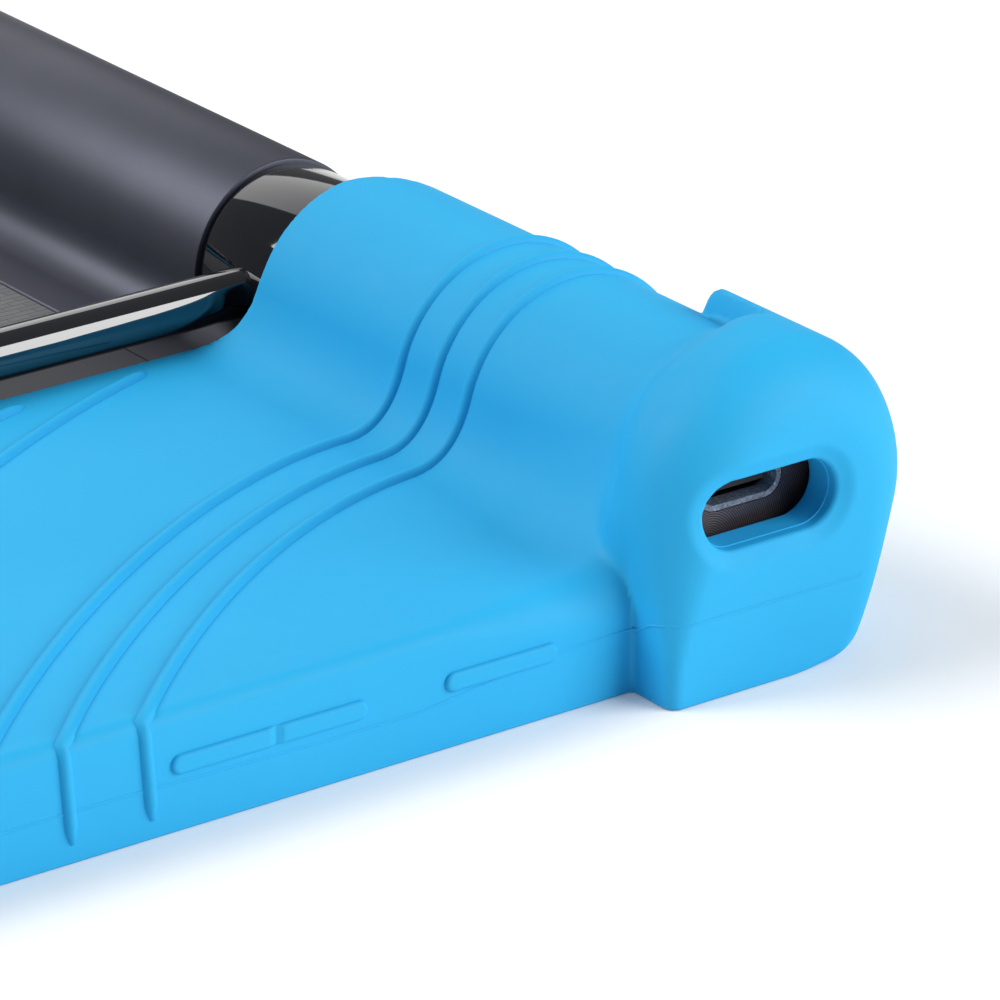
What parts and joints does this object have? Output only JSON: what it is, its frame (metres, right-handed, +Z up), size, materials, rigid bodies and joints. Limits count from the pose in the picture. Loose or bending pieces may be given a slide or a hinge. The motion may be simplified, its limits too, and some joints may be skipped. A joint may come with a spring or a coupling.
{
  "type": "tablet in silicone case",
  "caption": "Tablet with a battery grip along one edge and a folding loop kickstand, lying on its screen in a ribbed silicone case with end cups, key pads and a charging slot.",
  "frame": {"origin": "middle of the case's footprint, on the table it lies on", "axes": "+X from the tablet's thin edge to its grip, +Y along the grip away from the charging port, +Z up from the screen to the back"},
  "size_m": [0.1742, 0.265, 0.0305],
  "materials": {
    "silicone": "matte blue silicone rubber",
    "glass": "black-bordered cover glass",
    "display": "dark display panel",
    "frame": "dark bead-blasted frame",
    "knit": "grey knit bonded to a thin panel",
    "satin": "satin dark grey paint",
    "gloss": "glossy black",
    "rod": "glossy black plated steel rod",
    "steel": "plain steel",
    "plastic": "matte black",
    "board": "green circuit board",
    "cell": "shrink-wrapped cell"
  },
  "bodies": {
    "tablet": {"grip_centre_shell": "satin", "grip_end_housing_near": "satin", "grip_end_cap_near": "plastic", "grip_end_housing_far": "satin", "grip_end_cap_far": "plastic", "hinge_cover_near": "gloss", "hinge_pin_near": "steel", "inner_pivot_plate_near": "steel", "outer_pivot_plate_near": "steel", "hinge_cover_far": "gloss", "hinge_pin_far": "steel", "inner_pivot_plate_far": "steel", "outer_pivot_plate_far": "steel", "battery_cell_near": "cell", "battery_cell_far": "cell", "cover_glass": "glass", "lcd_panel": "display", "mid_frame": "frame", "rear_camera_module": "plastic", "rear_camera_ring": "steel", "rear_camera_lens": "glass", "front_camera": "plastic", "back_panel": "knit", "main_board": "board", "board_shield": "steel", "usb_board": "board", "usb_port_shell": "steel", "usb_port_tongue": "plastic", "speaker_near": "plastic", "speaker_grille_near": "steel", "speaker_far": "plastic", "speaker_grille_far": "steel", "key_board": "board", "power_switch": "plastic", "volume_up_switch": "plastic", "volume_down_switch": "plastic", "grip_screw_near_1": "steel", "grip_screw_near_2": "steel", "grip_screw_near_3": "steel", "grip_screw_far_1": "steel", "grip_screw_far_2": "steel", "grip_screw_far_3": "steel", "board_screw_1": "steel", "board_screw_2": "steel", "board_screw_3": "steel", "board_screw_4": "steel", "silicone_case": "silicone"},
    "kickstand": {"kickstand_loop": "rod", "hinge_barrel_near": "gloss", "friction_sleeve_near": "steel", "hinge_barrel_far": "gloss", "friction_sleeve_far": "steel"},
    "power_key": {"power_key": "gloss", "power_pad": "silicone"},
    "volume_key": {"volume_key": "gloss", "volume_pad": "silicone"}
  },
  "joints": [
    {"name": "kickstand_hinge", "type": "hinge", "parent": "tablet", "child": "kickstand", "pos_m": [0.07443, 0, 0.0143], "axis": [0, 1, 0], "range_deg": [0, 165]},
    {"name": "power_key_press", "type": "slide", "parent": "tablet", "child": "power_key", "axis": [0, 1, 0], "range_m": [0, 0.0003], "stiffness_N_per_m": 800},
    {"name": "volume_key_rock", "type": "hinge", "parent": "tablet", "child": "volume_key", "pos_m": [0.01843, -0.122, 0.0064], "axis": [0, 0, 1], "range_deg": [-1.2, 1.2], "stiffness_Nm_per_rad": 2}
  ]
}
